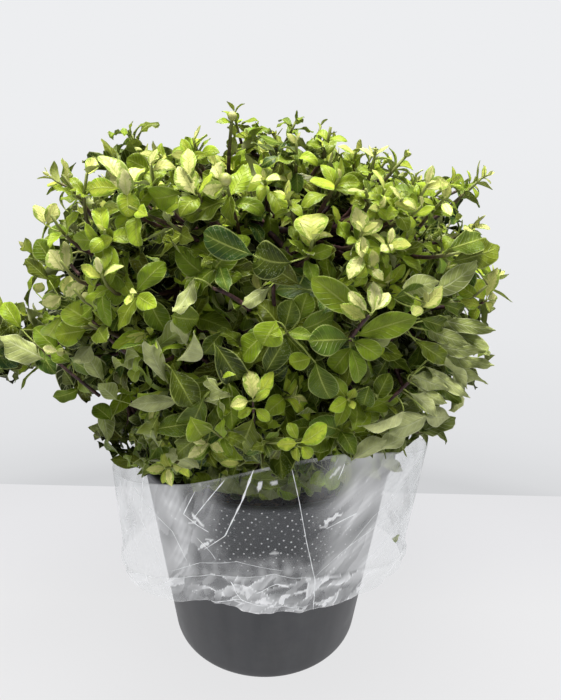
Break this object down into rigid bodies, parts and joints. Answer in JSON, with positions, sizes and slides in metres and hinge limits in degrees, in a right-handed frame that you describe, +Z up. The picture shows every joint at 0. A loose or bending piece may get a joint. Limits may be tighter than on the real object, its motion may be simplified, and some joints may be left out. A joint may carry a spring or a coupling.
{
  "type": "potted pittosporum",
  "caption": "Dense, rounded evergreen pittosporum with pale young shoots on a short branched stem, in a plain nursery pot with a loose clear film sleeve round it.",
  "frame": {"origin": "middle of the pot's flat underside, which stands on the ground", "axes": "+Z up along the pot's axis, -Y towards the front of the pictured view, +X to its right"},
  "size_m": [0.4307, 0.3482, 0.4441],
  "materials": {
    "pot": "satin moulded polypropylene, charcoal",
    "mix": "moist bark and peat potting mix, matte",
    "film": "clear glossy polypropylene film",
    "bark": "purple-brown bark, matte",
    "foliage": "leathery green leaves, half glossy"
  },
  "bodies": {
    "root": {"pot": "pot", "potting_mix": "mix", "film_sleeve": "film", "trunk": "bark", "bough_upper_1": "bark", "bough_upper_2": "bark", "bough_upper_3": "bark", "bough_upper_4": "bark", "bough_upper_5": "bark", "bough_middle_1": "bark", "bough_middle_2": "bark", "bough_middle_3": "bark", "bough_middle_4": "bark", "bough_middle_5": "bark", "bough_middle_6": "bark", "bough_middle_7": "bark", "bough_lower_1": "bark", "bough_lower_2": "bark", "bough_lower_3": "bark", "bough_lower_4": "bark", "bough_lower_5": "bark", "bough_lower_6": "bark", "bough_left_spray": "bark", "foliage_top": "foliage", "foliage_upper_1": "foliage", "foliage_upper_2": "foliage", "foliage_upper_3": "foliage", "foliage_upper_4": "foliage", "foliage_upper_5": "foliage", "foliage_middle_1": "foliage", "foliage_middle_2": "foliage", "foliage_middle_3": "foliage", "foliage_middle_4": "foliage", "foliage_middle_5": "foliage", "foliage_middle_6": "foliage", "foliage_middle_7": "foliage", "foliage_lower_1": "foliage", "foliage_lower_2": "foliage", "foliage_lower_3": "foliage", "foliage_lower_4": "foliage", "foliage_lower_5": "foliage", "foliage_lower_6": "foliage", "foliage_left_spray": "foliage"}
  },
  "joints": []
}
